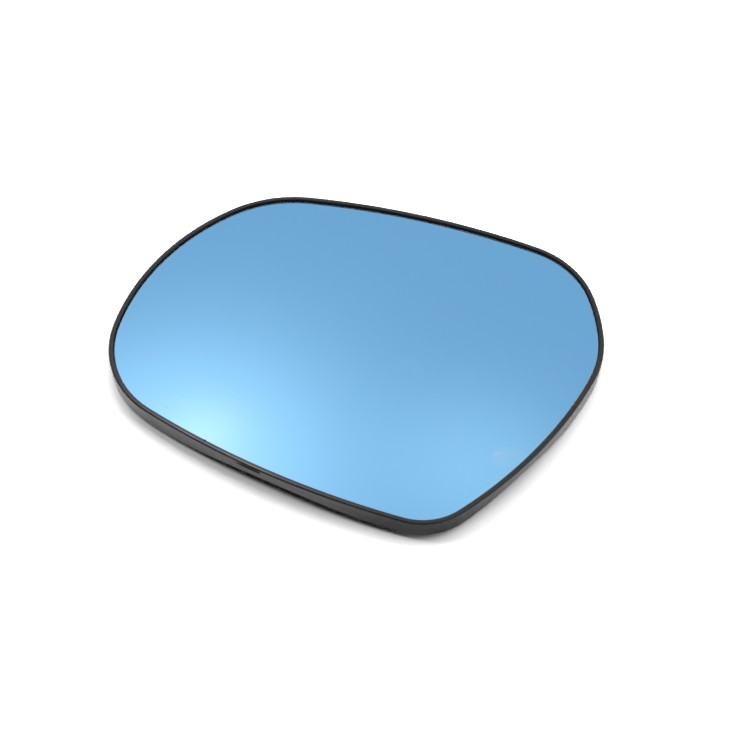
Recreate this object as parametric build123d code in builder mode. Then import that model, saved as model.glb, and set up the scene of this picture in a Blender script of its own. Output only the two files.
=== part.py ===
"""Door mirror glass on its moulded backing plate, lying face up. Sizes in millimetres.

The frame: the axis of the snap ring is the Z axis, the ring's tips are at z = 0 and the glass
faces +Z. Up in use is +Y and the side of the car is at +X, so this is the left-hand glass.
"""
import os
from math import radians, sqrt, tan

from build123d import *

os.makedirs("parts", exist_ok=True)

# Edge of the glass: corner points before rounding, counter-clockwise from the upper inner one,
# the bulge of the side that follows each corner, and the corner's radius
EDGE_X = [81.2, -63.2, -87.6, -56.3, 65.2]
EDGE_Y = [56.2, 59.0, -39.0, -79.1, -54.5]
EDGE_BULGES = [8.3, 7.4, 4.2, 4.8, 18.8]
EDGE_RADII = [39.0, 24.0, 42.0, 35.0, 48.0]

# Layers of the face, from the front
FRONT_R = 1200.0
GLASS_T = 2.0
GLASS_SEAM = 0.3
FILM_T = 0.4
FILM_MARGIN = 2.0
PLATE_T = 2.0

# Rim and wall of the backing plate: flat feet at the corners, an arch along each side
GLASS_GAP = 0.25
RIM_W = 2.4
RIM_PROUD = 1.2
RIM_OUTER_R = 0.8
RIM_INNER_BEVEL = 0.3
WALL_DRAFT = 4.0
SKIRT_INSET = 2.6
FOOT_CLEAR = 2.9
FOOT_BEVEL = 0.4
LONG_ARCH_X = 1.0
LONG_ARCH_SPAN = 116.0
LONG_ARCH_RISE = 4.2
SHORT_ARCH_Y = 24.0
SHORT_ARCH_SPAN = 76.0
SHORT_ARCH_RISE = 3.8

# Gate mark, trimmed off slightly askew under the rim of the upper edge
GATE_X = 11.8
GATE_L = 16.0
GATE_H = 1.8
GATE_DEPTH = 0.4
GATE_TILT = 0.4
GATE_BELOW = 0.2

# Snap ring that grips the mirror motor's carrier
RING_HEIGHT = 9.6
RING_R = 27.0
RING_T = 1.8
RING_SLOT = 3.0
HOOKS = 4
HOOK_ARC = 36.0
HOOK_REACH = 1.2
HOOK_LEAD = 1.4
HOOK_LAND = 1.2
HOOK_BACK = 0.8
HOOK_WINDOW = 1.8
TIP_CHAMFER = 0.4
SEAT_R = 21.0
SEAT_W = 2.4
SEAT_STEP = 1.2

# Ribs on the back
RIB_T = 1.4
RIB_DEPTH = 2.6
RIB_RING_R = 48.0
RIB_CLEAR = 4.0
RIB_BITE = 0.8

# Heater terminals: a tab on the film and a blade for a push-on receptacle
BLADE_W = 6.3
BLADE_T = 0.8
BLADE_L = 8.2
BLADE_POINT = 1.2
BLADE_BEND = 0.6
BLADE_HOLE = 1.8
BLADE_HOLE_UP = 3.6
BLADE_X = 11.0
BLADE_Y = -38.0
TAB_L = 7.0
WINDOW_CLEAR = 1.2

# How far a cutting shape runs past what it cuts
OVERCUT = 1.0

# Levels and radii that follow from the sizes above
APEX_Z = RING_HEIGHT + PLATE_T + FILM_T + GLASS_T
DOME_Z = APEX_Z - FRONT_R
DOME = Location((0, 0, DOME_Z), (90, 0, 0))
GLASS_BACK_R = FRONT_R - GLASS_T
FILM_BACK_R = GLASS_BACK_R - FILM_T
PLATE_BACK_R = FILM_BACK_R - PLATE_T
RIM_Z = APEX_Z + RIM_PROUD
TOP = RIM_Z + OVERCUT
HOOK_TOP = HOOK_LEAD + HOOK_LAND + HOOK_BACK
RIM_LINE = GLASS_GAP + RIM_W
SKIRT_LINE = RIM_LINE - SKIRT_INSET

# Cuts that take the rim's outer edge to a round of RIM_OUTER_R, in three flats
FIRST_CUT = RIM_OUTER_R * (1 - tan(radians(90 / 4)))
SECOND_CUT = RIM_OUTER_R * (tan(radians(90 / 4)) - tan(radians(90 / 8)))

# Edge line as laid out; edge_line centres it on the ring's axis
with BuildSketch() as edge:
    corners = list(zip(EDGE_X, EDGE_Y))
    with BuildLine():
        for start, end, bulge in zip(corners, corners[1:] + corners[:1], EDGE_BULGES):
            SagittaArc(start, end, -bulge)
    make_face()
    for corner, radius in zip(corners, EDGE_RADII):
        fillet(edge.vertices().sort_by_distance(corner)[0], radius)

middle = edge.sketch.bounding_box().center()
spread = edge.sketch.bounding_box().diagonal


def edge_line(grow, z=0.0):
    """The edge line moved outwards by grow: each arc keeps its centre and its angles."""
    with BuildSketch(Plane((-middle.X, -middle.Y, z))) as plan:
        with BuildLine():
            for arc in edge.edges():
                centre, scale = arc.arc_center, 1 + grow / arc.radius
                ThreePointArc(*[centre + (arc @ t - centre) * scale for t in (0, 0.5, 1)])
        make_face()
    return plan.sketch


def film_back(x, y):
    """A plane that touches the back of the heating film at x, y and faces the glass."""
    out = Vector(x, y, sqrt(FILM_BACK_R**2 - x * x - y * y))
    return Plane(Vector(0, 0, DOME_Z) + out, x_dir=Vector(0, 1, 0).cross(out), z_dir=out)


# Convex mirror glass with a seamed edge
with BuildPart() as mirror_glass:
    extrude(edge_line(0), amount=TOP)
    with Locations(DOME):
        Sphere(FRONT_R, mode=Mode.INTERSECT)
        Sphere(GLASS_BACK_R, mode=Mode.SUBTRACT)
    front = mirror_glass.faces().filter_by(GeomType.SPHERE).sort_by(Axis.Z)[-1]
    chamfer(front.edges(), GLASS_SEAM)
mirror_glass.part.label = "mirror_glass"
export_step(mirror_glass.part, "parts/mirror_glass.step")

# Heating film, adhesive on both faces
with BuildPart() as heater_film:
    extrude(edge_line(-FILM_MARGIN), amount=TOP)
    with Locations(DOME):
        Sphere(GLASS_BACK_R, mode=Mode.INTERSECT)
        Sphere(FILM_BACK_R, mode=Mode.SUBTRACT)
heater_film.part.label = "heater_film"
export_step(heater_film.part, "parts/heater_film.step")

# One hook: the barb that a sprung finger carries, led in at its tip and sloped behind
with BuildPart() as hook:
    with BuildSketch(Plane.XZ.rotated((0, 0, -HOOK_ARC / 2))):
        with BuildLine():
            Polyline(
                (RING_R + RING_T / 2, 0),
                (RING_R, 0),
                (RING_R - HOOK_REACH, HOOK_LEAD),
                (RING_R - HOOK_REACH, HOOK_LEAD + HOOK_LAND),
                (RING_R, HOOK_TOP),
                (RING_R + RING_T / 2, HOOK_TOP),
                close=True,
            )
        make_face()
    revolve(axis=Axis.Z, revolution_arc=HOOK_ARC)

# Snap ring: hooked fingers between plain ones, with the carrier's seat inside it
with BuildPart() as snap_ring:
    with BuildSketch():
        Circle(RING_R + RING_T)
        Circle(RING_R, mode=Mode.SUBTRACT)
        for side in (-1, 1):
            with PolarLocations(RING_R, HOOKS, start_angle=side * HOOK_ARC / 2):
                with Locations((0, side * RING_SLOT / 2)):
                    Rectangle(2 * (RING_T + OVERCUT), RING_SLOT, mode=Mode.SUBTRACT)
    extrude(amount=RING_HEIGHT + PLATE_T / 2)
    tips = snap_ring.edges().group_by(Axis.Z)[0].filter_by(GeomType.CIRCLE)
    chamfer(tips.filter_by(lambda e: e.radius > RING_R + RING_T / 2), TIP_CHAMFER)
    with PolarLocations(0, HOOKS):
        add(hook.part)
    with BuildSketch(Plane.XY.offset(RING_HEIGHT - SEAT_STEP)):
        Circle(SEAT_R + SEAT_W / 2)
        Circle(SEAT_R - SEAT_W / 2, mode=Mode.SUBTRACT)
    extrude(amount=SEAT_STEP + PLATE_T / 2)

# Ribs: spokes and a hoop of one depth, so they fade out as the plate curves down to them;
# the spokes behind a hook start clear of it
with BuildPart() as ribs:
    with BuildSketch(Plane.XY.offset(RING_HEIGHT - RIB_DEPTH)):
        with PolarLocations(RING_R + RING_T + RIB_CLEAR, HOOKS):
            Rectangle(spread, RIB_T, align=(Align.MIN, Align.CENTER))
        with PolarLocations(RING_R + RING_T / 2, HOOKS, start_angle=180 / HOOKS):
            Rectangle(spread, RIB_T, align=(Align.MIN, Align.CENTER))
    with BuildSketch(Plane.XY.offset(RING_HEIGHT - RIB_DEPTH)):
        Circle(RIB_RING_R + RIB_T / 2)
        Circle(RIB_RING_R - RIB_T / 2, mode=Mode.SUBTRACT)
    extrude(amount=RIB_DEPTH + PLATE_T)
    extrude(edge_line(SKIRT_LINE + RIB_BITE), amount=TOP, mode=Mode.INTERSECT)
    with Locations(DOME):
        Sphere(PLATE_BACK_R + PLATE_T / 2, mode=Mode.INTERSECT)

# Room for the glass and film in front of the plate, and the hollow behind it
with BuildPart() as pocket:
    extrude(edge_line(GLASS_GAP), amount=TOP + OVERCUT)
    with Locations(DOME):
        Sphere(FILM_BACK_R, mode=Mode.SUBTRACT)

with BuildPart() as hollow:
    extrude(edge_line(SKIRT_LINE, FOOT_CLEAR - OVERCUT), amount=TOP)
    with Locations(DOME):
        Sphere(PLATE_BACK_R, mode=Mode.INTERSECT)

# Wall of the plate, drawn upside down so that its draft narrows it towards the feet
with BuildPart() as wall:
    extrude(mirror(edge_line(RIM_LINE), Plane.XZ), amount=TOP, taper=WALL_DRAFT)

# Backing plate: rim, wall and plate in one moulding with the ribs and the snap ring
with BuildPart() as backing_plate:
    with Locations(Location((0, 0, TOP), (180, 0, 0))):
        add(wall.part)
    split(bisect_by=Plane.XY.offset(FOOT_CLEAR), keep=Keep.TOP)
    with Locations(DOME):
        Sphere(FRONT_R + RIM_PROUD, mode=Mode.INTERSECT)
    rim = backing_plate.faces().filter_by(GeomType.SPHERE).sort_by(Axis.Z)[-1]
    chamfer(rim.outer_wire().edges(), FIRST_CUT)
    first_flat = backing_plate.faces().filter_by(GeomType.BSPLINE).edges()
    chamfer(first_flat.filter_by(lambda e: e.length > 2 * RIM_OUTER_R), SECOND_CUT)
    add(pocket.part, mode=Mode.SUBTRACT)
    rim = backing_plate.faces().filter_by(GeomType.SPHERE).sort_by(SortBy.AREA)[0]
    chamfer(rim.inner_wires()[0].edges(), RIM_INNER_BEVEL)
    add(hollow.part, mode=Mode.SUBTRACT)
    for plane, at, span, rise in (
        (Plane.XZ, LONG_ARCH_X, LONG_ARCH_SPAN, LONG_ARCH_RISE),
        (Plane.YZ, SHORT_ARCH_Y, SHORT_ARCH_SPAN, SHORT_ARCH_RISE),
    ):
        with BuildSketch(plane):
            with BuildLine():
                ends = (at - span / 2, FOOT_CLEAR), (at + span / 2, FOOT_CLEAR)
                Spline(ends[0], (at, FOOT_CLEAR + rise), ends[1], tangents=[(1, 0)] * 3)
                Polyline(ends[1], (ends[1][0], 0), (ends[0][0], 0), ends[0])
            make_face()
        extrude(amount=spread, both=True, mode=Mode.SUBTRACT)
    sole_kinds = GeomType.PLANE, GeomType.EXTRUSION
    soles = backing_plate.faces().filter_by(lambda f: f.geom_type in sole_kinds)
    wall_edges = backing_plate.faces().filter_by(GeomType.CONE).edges()
    chamfer(soles.edges().filter_by(lambda e: e in wall_edges), FOOT_BEVEL)
    add(ribs.part)
    add(snap_ring.part)
    with BuildSketch(Plane.XY.offset(HOOK_TOP)):
        with PolarLocations(0, HOOKS):
            SlotArc(CenterArc((0, 0), RING_R - HOOK_WINDOW / 2, -HOOK_ARC / 2, HOOK_ARC), HOOK_WINDOW)
        with Locations((-BLADE_X, BLADE_Y), (BLADE_X, BLADE_Y)):
            RectangleRounded(BLADE_W + 2 * WINDOW_CLEAR, TAB_L + 2 * WINDOW_CLEAR, WINDOW_CLEAR)
    extrude(amount=TOP, mode=Mode.SUBTRACT)
    gate_y = edge_line(RIM_LINE).bounding_box().max.Y
    gate_z = RIM_Z - (GATE_X**2 + gate_y**2) / (2 * FRONT_R) - GATE_BELOW - GATE_H / 2
    gate_y -= (TOP - gate_z) * tan(radians(WALL_DRAFT)) + GATE_DEPTH
    gate = Plane((GATE_X, gate_y, gate_z), x_dir=(-1, 0, 0), z_dir=(0, 1, 0))
    with BuildSketch(gate.rotated((0, -GATE_TILT, 0))):
        RectangleRounded(GATE_L, GATE_H, GATE_H / 3)
    extrude(amount=RIM_W, mode=Mode.SUBTRACT)
backing_plate.part.label = "backing_plate"
export_step(backing_plate.part, "parts/backing_plate.step")

# One terminal: a tab under the film, bent down into a pointed blade with a detent hole
with BuildPart() as terminal:
    with BuildSketch(Plane.YZ) as bent:
        Rectangle(TAB_L, BLADE_T, align=(Align.CENTER, Align.MAX))
        with Locations((-TAB_L / 2, 0)):
            Rectangle(BLADE_T, BLADE_L, align=(Align.MIN, Align.MAX))
        fillet(bent.vertices().sort_by_distance((-TAB_L / 2 + BLADE_T, -BLADE_T))[0], BLADE_BEND)
        fillet(bent.vertices().sort_by_distance((-TAB_L / 2, 0))[0], BLADE_BEND + BLADE_T)
    extrude(amount=BLADE_W / 2, both=True)
    chamfer(terminal.edges().filter_by(Axis.Y).group_by(Axis.Z)[0], BLADE_POINT)
    with BuildSketch(Plane.XZ):
        with Locations((0, BLADE_HOLE_UP - BLADE_L)):
            Circle(BLADE_HOLE / 2)
    extrude(amount=TAB_L, mode=Mode.SUBTRACT)

with BuildPart() as heater_terminal_outer:
    with Locations(film_back(-BLADE_X, BLADE_Y)):
        add(terminal.part)
    with Locations(DOME):
        Sphere(FILM_BACK_R, mode=Mode.INTERSECT)
heater_terminal_outer.part.label = "heater_terminal_outer"
export_step(heater_terminal_outer.part, "parts/heater_terminal_outer.step")

with BuildPart() as heater_terminal_inner:
    with Locations(film_back(BLADE_X, BLADE_Y)):
        add(terminal.part)
    with Locations(DOME):
        Sphere(FILM_BACK_R, mode=Mode.INTERSECT)
heater_terminal_inner.part.label = "heater_terminal_inner"
export_step(heater_terminal_inner.part, "parts/heater_terminal_inner.step")
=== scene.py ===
# %% [markdown]
# # A door mirror glass, dressed for its picture
# The part is a bent blue mirror glass, bonded by a heating film to a moulded black plate.
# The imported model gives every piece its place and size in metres: the glass faces +Z, and the
# tips of the plate's snap ring stand on the floor at z = 0. This lesson gives each piece its
# finish, and models the glass again, because its reflection needs a finer surface than the
# solid has.

# %% Load the frame
from math import cos, radians, sin, sqrt

import bmesh
import bpy
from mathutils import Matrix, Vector


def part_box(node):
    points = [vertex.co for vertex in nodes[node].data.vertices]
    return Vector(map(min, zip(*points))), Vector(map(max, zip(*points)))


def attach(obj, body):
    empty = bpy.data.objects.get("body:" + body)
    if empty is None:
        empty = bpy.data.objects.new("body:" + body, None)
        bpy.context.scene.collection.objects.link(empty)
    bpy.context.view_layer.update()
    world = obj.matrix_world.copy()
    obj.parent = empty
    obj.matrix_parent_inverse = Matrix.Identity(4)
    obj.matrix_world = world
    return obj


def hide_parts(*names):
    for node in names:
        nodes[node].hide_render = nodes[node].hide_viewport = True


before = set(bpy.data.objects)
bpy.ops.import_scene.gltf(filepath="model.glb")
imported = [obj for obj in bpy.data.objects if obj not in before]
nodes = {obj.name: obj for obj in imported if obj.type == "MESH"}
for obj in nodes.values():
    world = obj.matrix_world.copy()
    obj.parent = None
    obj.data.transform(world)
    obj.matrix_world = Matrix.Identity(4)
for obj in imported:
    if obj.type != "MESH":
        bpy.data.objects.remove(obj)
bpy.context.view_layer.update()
scene = bpy.context.scene
scene.view_settings.view_transform = "Standard"

MM = 0.001


# %% [markdown]
# ## The camera
# The picture was taken from above the long upper edge with a long lens, so the outline hardly
# tapers. A direction, a distance and the point in the middle of the picture say where such a
# camera stands, and its focal length in pixels gives the lens. A camera placed by these
# numbers keeps the viewing angle, which a camera placed by eye would lose.

# %% Camera
PICTURE_PX = 750
FOCAL_PX = 2550
SENSOR = 36.0
VIEW_AZIMUTH = 207.0
VIEW_ELEVATION = 54.0
VIEW_DISTANCE = 1.0
VIEW_TARGET = Vector((-15.4, 14.9, 14.4)) * MM


def direction(azimuth, elevation):
    """The unit vector towards a place in the studio: azimuth 0 is -Y, 90 is +X."""
    turn, rise = radians(azimuth), radians(elevation)
    return Vector((sin(turn) * cos(rise), -cos(turn) * cos(rise), sin(rise)))


towards_camera = direction(VIEW_AZIMUTH, VIEW_ELEVATION)
camera = bpy.data.objects.new("camera", bpy.data.cameras.new("camera"))
camera.data.sensor_width = SENSOR
camera.data.lens = FOCAL_PX / PICTURE_PX * SENSOR
camera.location = VIEW_TARGET + VIEW_DISTANCE * towards_camera
camera.rotation_euler = towards_camera.to_track_quat("Z", "Y").to_euler()
scene.collection.objects.link(camera)
scene.camera = camera
print("camera", round(camera.data.lens, 1), "mm, stands at", [round(x, 3) for x in camera.location])


# %% [markdown]
# ## A hand for node trees
# Every material below is a small tree of nodes. Writing each node and link out in full would
# bury the recipe, so one helper makes a node, sets its plain values and joins its linked
# inputs. The others are the few sums that come back in every tree.

# %% Node helpers
def feed(tree, spot, value):
    """Give a socket a plain value, or join it to the socket that its value comes from."""
    if isinstance(value, bpy.types.NodeSocket):
        tree.links.new(value, spot)
    else:
        spot.default_value = value


def add(tree, kind, settings=None, **inputs):
    """A node in the tree: settings are its own properties, inputs are values or sockets.

    An input goes by its socket's name, with _ for a space, or by its number, as in i0 and i1.
    """
    made = tree.nodes.new(kind)
    for key, value in (settings or {}).items():
        setattr(made, key, value)
    for key, value in inputs.items():
        numbered = key[0] == "i" and key[1:].isdigit()
        feed(tree, made.inputs[int(key[1:]) if numbered else key.replace("_", " ")], value)
    return made


def math(tree, operation, first, second=0.0):
    """One sum on one or two values."""
    return add(tree, "ShaderNodeMath", {"operation": operation}, i0=first, i1=second).outputs[0]


def ramp(tree, value, low, high, first=0.0, last=1.0):
    """A value that goes smoothly from first at low to last at high."""
    return add(tree, "ShaderNodeMapRange", {"interpolation_type": "SMOOTHSTEP"}, Value=value,
               From_Min=low, From_Max=high, To_Min=first, To_Max=last).outputs[0]


def parts(tree, vector):
    """The X, Y and Z of a vector, each as a value."""
    return add(tree, "ShaderNodeSeparateXYZ", Vector=vector).outputs


def dot(tree, first, second):
    """How far one vector reaches along another."""
    made = add(tree, "ShaderNodeVectorMath", {"operation": "DOT_PRODUCT"}, i0=first, i1=second)
    return made.outputs["Value"]


def blend(tree, share, first, second):
    """A colour between two colours."""
    made = add(tree, "ShaderNodeMix", {"data_type": "RGBA"}, i0=share, i6=first, i7=second)
    return made.outputs[2]


def grey(level):
    """A grey as a colour."""
    return level, level, level, 1.0


print("helpers", [helper.__name__ for helper in (feed, add, math, ramp, parts, dot, blend, grey)])


# %% [markdown]
# ## What the mirror sees
# A mirror has almost no look of its own: its picture is the studio. Here the studio is white
# behind the part and dark on the camera's side, where only the strip near the floor is paler. A
# long soft lamp above the far edge shows in the glass as a pale glow, and its bright middle lies
# just past the glass, where only the plate's lip catches it. The world makes it all: rays from
# the camera find plain white, rays that come off gloss find the studio and the lamp, and matt
# surfaces are lit by the white half and its bright top alone, because for them a key light
# stands for the lamp.

# %% World
STUDIO_WHITE = 1.0
STUDIO_LIGHT = 1.26
TOP_LIGHT, TOP_POWER = 1.9, 12.0
CAMERA_SIDE, CAMERA_SIDE_LOW = 0.10, 0.6
DARK_FROM, DARK_TO = 0.2, 0.75
WHITE_AZIMUTH = -8.7
WHITE_FROM, WHITE_TO = -0.03, 0.01
GLOSS_FROM, GLOSS_TO = -0.30, 0.12
# Each glow of the lamp: azimuth, elevation, how tight it is, colour. The last is its middle.
LAMP_GLOWS = (
    (47.3, 60.0, 86.0, (1.73, 1.21, 0.98)),
    (43.8, 58.4, 1425.0, (0.83, 0.33, 0.54)),
    (13.8, 61.4, 222.0, (0.62, 0.45, 0.33)),
    (60.0, 66.0, 450.0, (13.0, 13.0, 13.0)),
)


def studio_in_gloss(tree, sight, facing, rise):
    """What a mirror finds in a direction: the white half, the dark half and the lamp."""
    dark = ramp(tree, rise, DARK_FROM, DARK_TO)
    seen = blend(tree, dark, grey(CAMERA_SIDE_LOW), grey(CAMERA_SIDE))
    seen = blend(tree, ramp(tree, facing, GLOSS_FROM, GLOSS_TO), seen, grey(STUDIO_WHITE))
    for azimuth, elevation, tight, colour in LAMP_GLOWS:
        off = math(tree, "SUBTRACT", dot(tree, sight, direction(azimuth, elevation)), 1.0)
        glow = math(tree, "EXPONENT", math(tree, "MULTIPLY", off, tight))
        light = add(tree, "ShaderNodeVectorMath", {"operation": "SCALE"}, i0=colour, Scale=glow)
        total = add(tree, "ShaderNodeVectorMath", {"operation": "ADD"}, i0=seen, i1=light.outputs[0])
        seen = total.outputs[0]
    return seen


def light_on_matt(tree, facing, rise):
    """What lights a matt surface from a direction: the white half, brighter at its top."""
    top = math(tree, "MULTIPLY", math(tree, "POWER", rise, TOP_POWER), TOP_LIGHT * STUDIO_LIGHT)
    white = ramp(tree, facing, WHITE_FROM, WHITE_TO)
    level = math(tree, "MULTIPLY", math(tree, "ADD", top, STUDIO_LIGHT), white)
    return add(tree, "ShaderNodeCombineColor", Red=level, Green=level, Blue=level).outputs[0]


def off_gloss(tree, path):
    """1 for a ray that comes off gloss or through glass, else 0."""
    return math(tree, "MAXIMUM", path["Is Glossy Ray"], path["Is Transmission Ray"])


def make_world():
    world = bpy.data.worlds.new("studio")
    world.use_nodes = True
    world.cycles.sampling_method = "NONE"
    tree = world.node_tree
    tree.nodes.clear()
    sight = add(tree, "ShaderNodeTexCoord").outputs["Generated"]
    path = add(tree, "ShaderNodeLightPath").outputs
    facing = dot(tree, sight, direction(WHITE_AZIMUTH, 0.0))
    rise = math(tree, "MAXIMUM", parts(tree, sight)[2], 0.0)
    matt = light_on_matt(tree, facing, rise)
    colour = blend(tree, off_gloss(tree, path), matt, studio_in_gloss(tree, sight, facing, rise))
    colour = blend(tree, path["Is Camera Ray"], colour, grey(STUDIO_WHITE))
    background = add(tree, "ShaderNodeBackground", Color=colour, Strength=1.0)
    add(tree, "ShaderNodeOutputWorld", Surface=background.outputs[0])
    return world


scene.world = make_world()
print("world with", len(LAMP_GLOWS), "glows of the lamp")


# %% [markdown]
# ## The key light
# A soft box stands to one side of the part. With the white half of the studio it makes a shadow
# that is dark at the wall's foot on the camera's side and soon fades. A sun with a wide disc
# gives such light at any distance. It is hidden from gloss, because what the glass shows is in
# the world already.

# %% Key light
KEY_AZIMUTH = 107.7
KEY_ELEVATION = 49.4
KEY_DISC = 14.0
KEY_LEVEL = 0.80

key = bpy.data.objects.new("key", bpy.data.lights.new("key", "SUN"))
key.data.energy = KEY_LEVEL
key.data.angle = radians(KEY_DISC)
key.rotation_euler = direction(KEY_AZIMUTH, KEY_ELEVATION).to_track_quat("Z", "Y").to_euler()
key.visible_glossy = False
scene.collection.objects.link(key)
print("key light at elevation", KEY_ELEVATION, "disc", KEY_DISC, "degrees")


# %% [markdown]
# ## The floor
# The floor is a white sweep that the camera sees slightly overexposed, as in a catalogue
# picture: plain white everywhere but in the shadow. A paler colour for camera and gloss rays
# does that, while the light that the floor throws back onto the part keeps a true white. In
# gloss a strip of the floor towards the camera is painted darker, a painted shadow of the
# camera, which takes the shine off the corner that points at the lens.

# %% Floor
FLOOR_HALF = 3.0
FLOOR_SEEN = 1.80
FLOOR_TRUE = 0.9
STRIP_MIDDLE, STRIP_HALF, STRIP_SOFT = 24 * MM, 8 * MM, 40 * MM
STRIP_FROM, STRIP_TO = 20 * MM, 40 * MM
STRIP_PAINTED_SHADE = 0.48


def floor_in_gloss_with_painted_shade(tree):
    """The floor's colour in reflections, with a strip of painted shade towards the camera."""
    place = add(tree, "ShaderNodeTexCoord").outputs["Object"]
    aside = dot(tree, place, direction(VIEW_AZIMUTH + 90, 0))
    aside = math(tree, "ABSOLUTE", math(tree, "SUBTRACT", aside, STRIP_MIDDLE))
    # Painted shade: in gloss the floor is darker in a strip towards the camera, standing in for the
    # camera's shadow.
    strip = ramp(tree, aside, STRIP_HALF, STRIP_HALF + STRIP_SOFT, 1.0, 0.0)
    ahead = ramp(tree, dot(tree, place, direction(VIEW_AZIMUTH, 0)), STRIP_FROM, STRIP_TO)
    strip = math(tree, "MULTIPLY", strip, ahead)
    return blend(tree, strip, grey(FLOOR_SEEN), grey(FLOOR_SEEN * STRIP_PAINTED_SHADE))


def finish_floor():
    finish = bpy.data.materials.new("white_floor")
    finish.use_nodes = True
    tree = finish.node_tree
    tree.nodes.clear()
    path = add(tree, "ShaderNodeLightPath").outputs
    colour = blend(tree, off_gloss(tree, path), grey(FLOOR_TRUE), floor_in_gloss_with_painted_shade(tree))
    colour = blend(tree, path["Is Camera Ray"], colour, grey(FLOOR_SEEN))
    matt = add(tree, "ShaderNodeBsdfDiffuse", Color=colour)
    add(tree, "ShaderNodeOutputMaterial", Surface=matt.outputs[0])
    return finish


def make_floor():
    bm = bmesh.new()
    bmesh.ops.create_grid(bm, x_segments=1, y_segments=1, size=FLOOR_HALF)
    mesh = bpy.data.meshes.new("floor")
    bm.to_mesh(mesh)
    bm.free()
    mesh.materials.append(finish_floor())
    floor = bpy.data.objects.new("floor", mesh)
    scene.collection.objects.link(floor)
    return floor


floor = make_floor()
print(floor.name, [round(side, 2) for side in floor.dimensions], "m")


# %% [markdown]
# ## Pieces and finishes
# A finish is one Principled shader in a material of its own. Values that are the same all over
# are set on the shader. Patterns read Object coordinates, which are the frame's own metres, so
# a pattern keeps its true size on every piece.

# %% Finish and piece helpers
JOIN_WITHIN = 0.002 * MM
SLIVER = 0.001 * MM


def new_finish(name, **values):
    """An empty finish: its material, its tree, its shader and the Object coordinates."""
    finish = bpy.data.materials.new(name)
    finish.use_nodes = True
    tree = finish.node_tree
    tree.nodes.clear()
    shader = add(tree, "ShaderNodeBsdfPrincipled", **values)
    add(tree, "ShaderNodeOutputMaterial", Surface=shader.outputs[0])
    place = add(tree, "ShaderNodeTexCoord").outputs["Object"]
    return finish, tree, shader.inputs, place


def new_piece(name, bm, *finishes):
    """The bmesh as an object at the origin that rides with the part."""
    mesh = bpy.data.meshes.new(name)
    bm.to_mesh(mesh)
    bm.free()
    for finish in finishes:
        mesh.materials.append(finish)
    piece = bpy.data.objects.new(name, mesh)
    scene.collection.objects.link(piece)
    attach(piece, "root")
    return piece


def merged_copy(node):
    """A bmesh of a CAD node with its loose triangles joined at their corners."""
    bm = bmesh.new()
    bm.from_mesh(nodes[node].data)
    bmesh.ops.remove_doubles(bm, verts=bm.verts, dist=JOIN_WITHIN)
    bmesh.ops.dissolve_degenerate(bm, edges=bm.edges, dist=SLIVER)
    return bm


def shade_crisp(piece, angle):
    """Smooth shading that breaks at every edge sharper than the angle."""
    piece.data.shade_smooth()
    piece.data.set_sharp_from_angle(angle=angle)


print(len(nodes), "pieces to dress:", sorted(nodes))


# %% [markdown]
# ## Grain and dust
# Two effects come back on several finishes, so each is a node group that is built once. Grain
# is the fine texture that a mould or a roller leaves: its height goes to a Bump node, and its
# slow cloud varies tone and gloss. Dust settles on faces that look up, as single specks and as
# a thin haze. Both put out plain values, and each finish decides what to do with them.

# %% Grain and dust groups
CLOUD_SIZE = 18 * MM
CLOUD_FROM, CLOUD_TO = 0.3, 0.7
SPECK_PITCH = 2.4 * MM
SPECK_REACH = 0.09
SPECK_RARE = 0.86
HAZE_DETAIL = 6.0
HAZE_FROM, HAZE_TO, HAZE_MOST = 0.45, 0.8, 0.2
LIES_FROM, LIES_TO = 0.5, 1.0


def new_group(name, inputs, outputs):
    """An empty node group, and the sockets on its inside."""
    group = bpy.data.node_groups.new(name, "ShaderNodeTree")
    for title, kind in inputs:
        group.interface.new_socket(title, in_out="INPUT", socket_type=kind)
    for title in outputs:
        group.interface.new_socket(title, in_out="OUTPUT", socket_type="NodeSocketFloat")
    entry = group.nodes.new("NodeGroupInput").outputs
    result = group.nodes.new("NodeGroupOutput").inputs
    return group, entry, result


def noise(tree, place, scale, detail=2.0):
    """A cloudy value between 0 and 1."""
    return add(tree, "ShaderNodeTexNoise", Vector=place, Scale=scale, Detail=detail).outputs[0]


def looks(tree):
    """Which way the surface looks, as its X, Y and Z."""
    return parts(tree, add(tree, "ShaderNodeTexCoord").outputs["Normal"])


def make_grain():
    sockets = (("Place", "NodeSocketVector"), ("Size", "NodeSocketFloat"))
    group, entry, result = new_group("fine_grain", sockets, ("Height", "Cloud"))
    fine = noise(group, entry["Place"], math(group, "DIVIDE", 1.0, entry["Size"]))
    cloud = noise(group, entry["Place"], 1 / CLOUD_SIZE)
    feed(group, result["Height"], fine)
    feed(group, result["Cloud"], ramp(group, cloud, CLOUD_FROM, CLOUD_TO))
    return group


def make_dust():
    sockets = (("Place", "NodeSocketVector"), ("Cover", "NodeSocketFloat"))
    group, entry, result = new_group("settled_dust", sockets, ("Dust",))
    cells = add(group, "ShaderNodeTexVoronoi", Vector=entry["Place"], Scale=1 / SPECK_PITCH).outputs
    lot = add(group, "ShaderNodeSeparateColor", Color=cells["Color"]).outputs[0]
    dots = ramp(group, cells["Distance"], 0.0, SPECK_REACH, 1.0, 0.0)
    specks = math(group, "MULTIPLY", ramp(group, lot, SPECK_RARE, 1.0), dots)
    haze = noise(group, entry["Place"], 1 / CLOUD_SIZE, HAZE_DETAIL)
    haze = ramp(group, haze, HAZE_FROM, HAZE_TO, 0.0, HAZE_MOST)
    lies = ramp(group, looks(group)[2], LIES_FROM, LIES_TO)
    dust = math(group, "MULTIPLY", math(group, "MAXIMUM", specks, haze), lies)
    feed(group, result["Dust"], math(group, "MULTIPLY", dust, entry["Cover"]))
    return group


grain_group = make_grain()
dust_group = make_dust()


def grain_on(tree, place, size):
    """The grain on a finish: its Height and its Cloud."""
    return add(tree, "ShaderNodeGroup", {"node_tree": grain_group}, Place=place, Size=size).outputs


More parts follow.
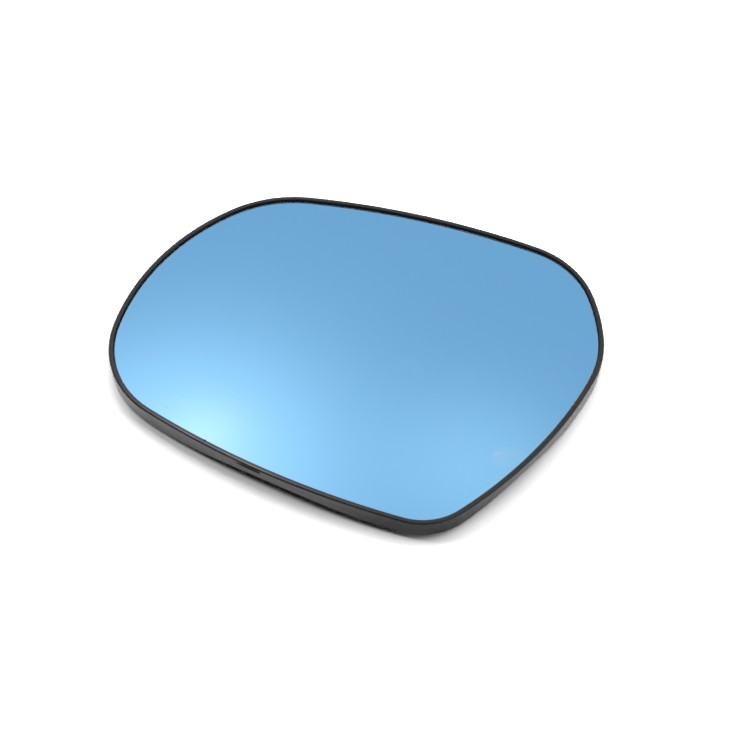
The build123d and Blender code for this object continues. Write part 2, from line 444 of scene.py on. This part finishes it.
def dust_on(tree, place, cover):
    """The dust on a finish, as a mask."""
    made = add(tree, "ShaderNodeGroup", {"node_tree": dust_group}, Place=place, Cover=cover)
    return made.outputs["Dust"]


print("groups", grain_group.name, "and", dust_group.name)


# %% [markdown]
# ## The bent glass
# The real glass is a flat sheet, cut to its outline, ground along the edge and sagged over a
# mould with a radius of 1.2 m. The solid has the right form, but its long triangles would
# streak the reflection. So the outline is taken from the solid, filled with rings that shrink
# towards the middle, laid on the sphere, given its thickness, and seamed along the edge.

# %% Glass
BEND_R = 1200 * MM
GLASS_T = 2 * MM
SEAM = 0.3 * MM
SEAM_SEGMENTS = 2
FIRST_RING = 0.985
RINGS = 14
FACE_UP = 0.95
EDGE_ANGLE = radians(50)


def outline_of_glass():
    """A bmesh with one face: the front of the solid glass inside its seam."""
    bm = merged_copy("mirror_glass")
    others = [face for face in bm.faces if face.normal.z < FACE_UP]
    bmesh.ops.delete(bm, geom=others, context="FACES")
    bmesh.ops.dissolve_faces(bm, faces=bm.faces[:])
    return bm


def stretch(corners, middle, grow_x, grow_y):
    """Move corners away from the middle, or towards it, as seen from above."""
    for v in corners:
        v.co.x = middle.x + (v.co.x - middle.x) * grow_x
        v.co.y = middle.y + (v.co.y - middle.y) * grow_y


def shape_glass():
    """The glass as a bmesh: its front takes the first finish, its edge and back the second."""
    bm = outline_of_glass()
    face = next(iter(bm.faces))
    low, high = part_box("mirror_glass")
    middle = Vector(((low[0] + high[0]) / 2, (low[1] + high[1]) / 2, 0))
    xs = [v.co.x for v in face.verts]
    ys = [v.co.y for v in face.verts]
    grow_x = (high[0] - low[0]) / (max(xs) - min(xs))
    grow_y = (high[1] - low[1]) / (max(ys) - min(ys))
    stretch(face.verts, middle, grow_x, grow_y)
    print("glass outline of", len(face.verts), "corners")
    before = 1.0
    for step in [FIRST_RING] + [1 - ring / RINGS for ring in range(1, RINGS)]:
        bmesh.ops.inset_region(bm, faces=[face], thickness=0, use_boundary=True)
        stretch(face.verts, middle, step / before, step / before)
        before = step
    bmesh.ops.poke(bm, faces=[face])
    dome = high[2] - BEND_R
    for v in bm.verts:
        v.co.z = dome + sqrt(BEND_R**2 - v.co.x**2 - v.co.y**2)
    bmesh.ops.recalc_face_normals(bm, faces=bm.faces)
    bmesh.ops.solidify(bm, geom=bm.faces[:], thickness=GLASS_T)
    rim = [edge for edge in bm.edges if edge.calc_face_angle(0) > EDGE_ANGLE]
    bmesh.ops.bevel(bm, geom=rim, offset=SEAM, offset_type="OFFSET", affect="EDGES",
                    segments=SEAM_SEGMENTS, profile=0.5, material=-1, clamp_overlap=True)
    for face in bm.faces:
        face.material_index = 0 if face.normal.z > FACE_UP else 1
    return bm


glass_shape = shape_glass()
print("glass of", len(glass_shape.faces), "faces in", RINGS, "rings")


# %% [markdown]
# ## The finish of the glass
# The blue comes from a thin metal layer, so the front is a metal that tints what it reflects.
# A perfect mirror looks false, and this one has been handled: a fingertip left a greasy smear
# with a paler core near one end, a wiped spot left a faint crescent, and a reddish speck lies
# near the edge. Each is an ellipse, some with a ragged border, laid on by its place on the
# glass. The ground edge is matt glass, paler and darker with its grain.

# %% Glass finish
BLUE = (0.149, 0.381, 0.644, 1.0)
GREASY_BLUE = (0.166, 0.390, 0.642, 1.0)
GREASE_CORE = (0.215, 0.392, 0.610, 1.0)
WIPED_BLUE = (0.154, 0.389, 0.652, 1.0)
SPECK_TINT = (0.27, 0.21, 0.37, 1.0)
DUST_GREY = (0.30, 0.33, 0.36, 1.0)
# Each mark: its middle and half its size in millimetres, how much of it is a soft border, how
# ragged that border is, and its turn in degrees. The crescent is what the hollow leaves of a disc.
GREASE_MARK = {"centre": (-77.4, 24.4), "half": (8.2, 5.6), "soft": 0.5, "ragged": 0.4, "turn": 50}
CORE_MARK = {"centre": (-73.4, 25.0), "half": (2.5, 2.0), "soft": 0.95, "ragged": 0.4, "turn": 62}
DISC_MARK = {"centre": (-26.3, 6.0), "half": (5.9, 5.9), "soft": 0.12}
HOLLOW_MARK = {"centre": (-26.0, 9.0), "half": (6.6, 6.6), "soft": 0.9}
SPECK_MARK = {"centre": (51.2, 63.3), "half": (0.75, 0.55), "soft": 0.7}
RAGGED_SCALE, RAGGED_DETAIL = 0.7 / MM, 3.0
MIRROR_GRAIN = 0.6 * MM
MIRROR_DUST = 0.10
MIRROR_GLOSS, CLOUD_DULL, MARK_DULL = 0.02, 0.01, 0.03
EDGE_GRAIN = 0.15 * MM
EDGE_DARK = (0.30, 0.42, 0.50, 1.0)
EDGE_PALE = (0.52, 0.64, 0.70, 1.0)
GRAIN_LOW, GRAIN_HIGH = 0.2, 0.8
EDGE_SMOOTH, EDGE_ROUGH = 0.38, 0.6
SEAM_ANGLE = radians(15)


def uneven(tree, place, scale, detail):
    """A cloudy value about 0, to make a border ragged."""
    return math(tree, "SUBTRACT", noise(tree, place, scale, detail), 0.5)


def smear(tree, place, centre, half, soft, ragged=0.0, turn=0.0):
    """A mask of an ellipse on the part, in millimetres: 1 inside, fading out at its border."""
    middle = Vector((centre[0], centre[1], 0)) * MM
    size = Vector((half[0] * MM, half[1] * MM, 1.0))
    inside = add(tree, "ShaderNodeMapping", {"vector_type": "TEXTURE"}, Vector=place,
                 Location=middle, Rotation=(0, 0, radians(turn)), Scale=size).outputs[0]
    away = add(tree, "ShaderNodeVectorMath", {"operation": "LENGTH"}, i0=inside).outputs["Value"]
    if ragged:
        rough = uneven(tree, place, RAGGED_SCALE, RAGGED_DETAIL)
        away = math(tree, "ADD", away, math(tree, "MULTIPLY", rough, ragged))
    return ramp(tree, away, 1 - soft, 1.0, 1.0, 0.0)


def finish_reflector():
    finish, tree, sockets, place = new_finish("blue_reflector", Metallic=1.0)
    dust = dust_on(tree, place, MIRROR_DUST)
    grease = smear(tree, place, **GREASE_MARK)
    left = math(tree, "SUBTRACT", 1.0, smear(tree, place, **HOLLOW_MARK))
    crescent = math(tree, "MULTIPLY", smear(tree, place, **DISC_MARK), left)
    colour = blend(tree, grease, BLUE, GREASY_BLUE)
    colour = blend(tree, smear(tree, place, **CORE_MARK), colour, GREASE_CORE)
    colour = blend(tree, crescent, colour, WIPED_BLUE)
    colour = blend(tree, smear(tree, place, **SPECK_MARK), colour, SPECK_TINT)
    feed(tree, sockets["Base Color"], blend(tree, dust, colour, DUST_GREY))
    cloud = grain_on(tree, place, MIRROR_GRAIN)["Cloud"]
    handled = math(tree, "MULTIPLY", cloud, CLOUD_DULL)
    dulled = math(tree, "MULTIPLY", math(tree, "MAXIMUM", grease, dust), MARK_DULL)
    gloss = math(tree, "ADD", math(tree, "ADD", handled, dulled), MIRROR_GLOSS)
    feed(tree, sockets["Roughness"], gloss)
    return finish


def finish_ground_edge():
    finish, tree, sockets, place = new_finish("ground_glass_edge", Metallic=0.0)
    height = grain_on(tree, place, EDGE_GRAIN)["Height"]
    rough = ramp(tree, height, GRAIN_LOW, GRAIN_HIGH, EDGE_SMOOTH, EDGE_ROUGH)
    feed(tree, sockets["Base Color"], blend(tree, height, EDGE_DARK, EDGE_PALE))
    feed(tree, sockets["Roughness"], rough)
    return finish


glass = new_piece("bent_glass", glass_shape, finish_reflector(), finish_ground_edge())
shade_crisp(glass, SEAM_ANGLE)
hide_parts("mirror_glass")
print("finishes of the glass:", [finish.name for finish in glass.data.materials])


# %% [markdown]
# ## The backing plate
# The plate is injection moulded in black plastic. Its solid has the true form, so the piece is
# a copy of it whose triangles are joined: then round faces shade smoothly and real edges stay
# crisp. One crumb of flash stands on the lip's inner edge, where the two halves of the mould
# did not quite close. It is a small flattened ball, sunk halfway into the lip.

# %% Plate
FLASH_AT = Vector((29.5, 71.35, 12.62)) * MM
FLASH_HALF = Vector((0.65, 0.4, 0.3)) * MM
FLASH_FINE = 2


def shape_plate():
    """The plate and its crumb of flash as a bmesh."""
    bm = merged_copy("backing_plate")
    made = bmesh.ops.create_icosphere(bm, subdivisions=FLASH_FINE, radius=1.0)
    bmesh.ops.scale(bm, vec=FLASH_HALF, verts=made["verts"])
    bmesh.ops.translate(bm, vec=FLASH_AT, verts=made["verts"])
    return bm


plate_shape = shape_plate()
print("plate of", len(plate_shape.faces), "faces, its flash", 2 * FLASH_HALF.x / MM, "mm long")


# %% [markdown]
# ## The finish of the plastic
# The steel of the mould was etched, which gives the plastic a satin face with a grain of about
# a quarter of a millimetre. Deep black plastic hardly shows a colour: what the eye sees is the
# floor and the studio in its gloss. So the base is nearly black, the grain and a slow cloud
# vary the gloss, and a trace of dust lies on the lip. The lip's top is glossier from handling,
# and the walls from sliding along the steel when the part was pushed out. Where the gate was
# trimmed off under the lip, the cut face is torn and dull.

# %% Plastic finish
BLACK = (0.0045, 0.0045, 0.0048, 1.0)
BLACK_CLOUD = (0.0075, 0.0074, 0.0076, 1.0)
PLASTIC_DUST_GREY = (0.16, 0.155, 0.15, 1.0)
PLASTIC_DUST = 0.12
PLASTIC_IOR = 1.48
GRAIN_SIZE = 0.26 * MM
GRAIN_DEPTH = 0.006 * MM
SATIN_LOW, SATIN_HIGH = 0.31, 0.37
# How far a face looks up: 0 for an upright wall, 1 for a level top.
LIP_FROM, LIP_TO, LIP_POLISH = 0.9, 0.98, 0.13
WALL_TO, WALL_ENDS, WALL_POLISH = 0.15, 0.35, 0.09
GATE_AT = Vector((10.6, 74.3, 11.7)) * MM
GATE_HALF = Vector((7.0, 0.9, 1.0)) * MM
GATE_FADES, GATE_ENDS = 11.5 * MM, 16.5 * MM
GATE_TEAR, GATE_RAGGED, GATE_INSIDE = 1.1 / MM, 0.5, 0.85
GATE_DULL = 0.3
SHINE, GATE_SHINE = 0.5, 0.16
CRISP_ANGLE = radians(22)


def gate_mask(tree, place):
    """1 inside the box of the gate scar, torn at its border and fading at its shallow end."""
    inside = add(tree, "ShaderNodeMapping", {"vector_type": "TEXTURE"}, Vector=place,
                 Location=GATE_AT, Scale=GATE_HALF).outputs[0]
    away = 0.0
    for reach in parts(tree, inside):
        away = math(tree, "MAXIMUM", math(tree, "ABSOLUTE", reach), away)
    tear = math(tree, "MULTIPLY", uneven(tree, place, GATE_TEAR, RAGGED_DETAIL), GATE_RAGGED)
    box = ramp(tree, math(tree, "ADD", away, tear), GATE_INSIDE, 1.0, 1.0, 0.0)
    fade = ramp(tree, parts(tree, place)[0], GATE_FADES, GATE_ENDS, 1.0, 0.0)
    return math(tree, "MULTIPLY", fade, box)


def finish_plastic():
    finish, tree, sockets, place = new_finish("black_moulding", IOR=PLASTIC_IOR)
    grain = grain_on(tree, place, GRAIN_SIZE)
    dust = dust_on(tree, place, PLASTIC_DUST)
    gate = gate_mask(tree, place)
    looks_up = looks(tree)[2]
    colour = blend(tree, grain["Cloud"], BLACK, BLACK_CLOUD)
    feed(tree, sockets["Base Color"], blend(tree, dust, colour, PLASTIC_DUST_GREY))
    satin = ramp(tree, grain["Cloud"], 0.0, 1.0, SATIN_LOW, SATIN_HIGH)
    lip = ramp(tree, looks_up, LIP_FROM, LIP_TO, 0.0, LIP_POLISH)
    wall = ramp(tree, looks_up, WALL_TO, WALL_ENDS, WALL_POLISH, 0.0)
    satin = math(tree, "SUBTRACT", math(tree, "SUBTRACT", satin, lip), wall)
    satin = math(tree, "ADD", satin, math(tree, "MULTIPLY", gate, GATE_DULL))
    feed(tree, sockets["Roughness"], satin)
    feed(tree, sockets["Specular IOR Level"], ramp(tree, gate, 0.0, 1.0, SHINE, GATE_SHINE))
    bump = add(tree, "ShaderNodeBump", Strength=1.0, Distance=GRAIN_DEPTH, Height=grain["Height"])
    feed(tree, sockets["Normal"], bump.outputs[0])
    return finish


plate = new_piece("plate_moulding", plate_shape, finish_plastic())
shade_crisp(plate, CRISP_ANGLE)
even = plate.modifiers.new("even_shading", "WEIGHTED_NORMAL")
even.keep_sharp = True
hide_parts("backing_plate")
print("plastic with a grain of", GRAIN_SIZE / MM, "mm on", len(plate.data.polygons), "faces")


# %% [markdown]
# ## The heating film
# Between the glass and the plate lies a polyester film with a printed track that runs to and
# fro, and shows only in the two windows on the back. The solid stays as it is. Its finish is
# dark film with even bands of duller, paler print, which repeat along the part's Y.

# %% Film finish
TRACK_PITCH = 3.2 * MM
TRACK_FROM, TRACK_TO = 0.2, 0.24
FILM_GRAIN = 0.12 * MM
FILM_IOR = 1.57
FILM_BLACK = (0.012, 0.012, 0.014, 1.0)
TRACK_GREY = (0.12, 0.12, 0.125, 1.0)
TRACK_DARK = 0.08
FILM_ROUGH, TRACK_ROUGH = 0.22, 0.55


def finish_film():
    finish, tree, sockets, place = new_finish("heater_film", IOR=FILM_IOR)
    height = grain_on(tree, place, FILM_GRAIN)["Height"]
    phase = math(tree, "FRACT", math(tree, "DIVIDE", parts(tree, place)[1], TRACK_PITCH))
    bands = math(tree, "ABSOLUTE", math(tree, "SUBTRACT", phase, 0.5))
    track = ramp(tree, bands, TRACK_FROM, TRACK_TO)
    print_tone = blend(tree, height, TRACK_GREY, grey(TRACK_DARK))
    feed(tree, sockets["Base Color"], blend(tree, track, FILM_BLACK, print_tone))
    feed(tree, sockets["Roughness"], ramp(tree, track, 0.0, 1.0, FILM_ROUGH, TRACK_ROUGH))
    return finish


nodes["heater_film"].material_slots[0].material = finish_film()
print("film track every", TRACK_PITCH / MM, "mm")


# %% [markdown]
# ## The heater terminals
# Each terminal is stamped from tinned brass strip and bent into a blade. The strip's faces keep
# the dull tin with the fine lines of the rollers, and the sheared sides show bare brass. Which
# is which follows from where a face looks: the sheared sides look along X. The pieces are
# joined copies of the solids, with a hair of a bevel from the stamping tool.

# %% Terminals
TIN = (0.60, 0.585, 0.56, 1.0)
TIN_CLOUD = (0.48, 0.47, 0.455, 1.0)
BRASS = (0.56, 0.38, 0.13, 1.0)
ROLL_GRAIN = 0.5 * MM
ROLL_SQUEEZE = (8.0, 1.0, 0.5)
SHEARED_FROM, SHEARED_TO = 0.85, 0.95
TIN_SMOOTH, TIN_ROUGH, SHEARED_DULL = 0.28, 0.44, 0.1
STAMP_BEVEL = 0.06 * MM
STAMP_SEGMENTS = 2
STAMP_ANGLE = radians(50)


def finish_terminal():
    finish, tree, sockets, place = new_finish("tinned_brass", Metallic=1.0)
    rolled = add(tree, "ShaderNodeMapping", Vector=place, Scale=ROLL_SQUEEZE).outputs[0]
    height = grain_on(tree, rolled, ROLL_GRAIN)["Height"]
    sideways = math(tree, "ABSOLUTE", looks(tree)[0])
    sheared = ramp(tree, sideways, SHEARED_FROM, SHEARED_TO)
    tin = blend(tree, height, TIN_CLOUD, TIN)
    feed(tree, sockets["Base Color"], blend(tree, sheared, tin, BRASS))
    dull = ramp(tree, height, GRAIN_LOW, GRAIN_HIGH, TIN_SMOOTH, TIN_ROUGH)
    torn = math(tree, "MULTIPLY", sheared, SHEARED_DULL)
    feed(tree, sockets["Roughness"], math(tree, "ADD", dull, torn))
    return finish


def make_blade(name, node, finish):
    blade = new_piece(name, merged_copy(node), finish)
    shade_crisp(blade, CRISP_ANGLE)
    bevel = blade.modifiers.new("stamped_edge", "BEVEL")
    bevel.width = STAMP_BEVEL
    bevel.segments = STAMP_SEGMENTS
    bevel.angle_limit = STAMP_ANGLE
    bevel.harden_normals = True
    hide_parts(node)
    return blade


tinned_brass = finish_terminal()
blades = (("outer_blade", "heater_terminal_outer"), ("inner_blade", "heater_terminal_inner"))
for name, node in blades:
    blade = make_blade(name, node, tinned_brass)
    print(name, "of", len(blade.data.polygons), "faces")
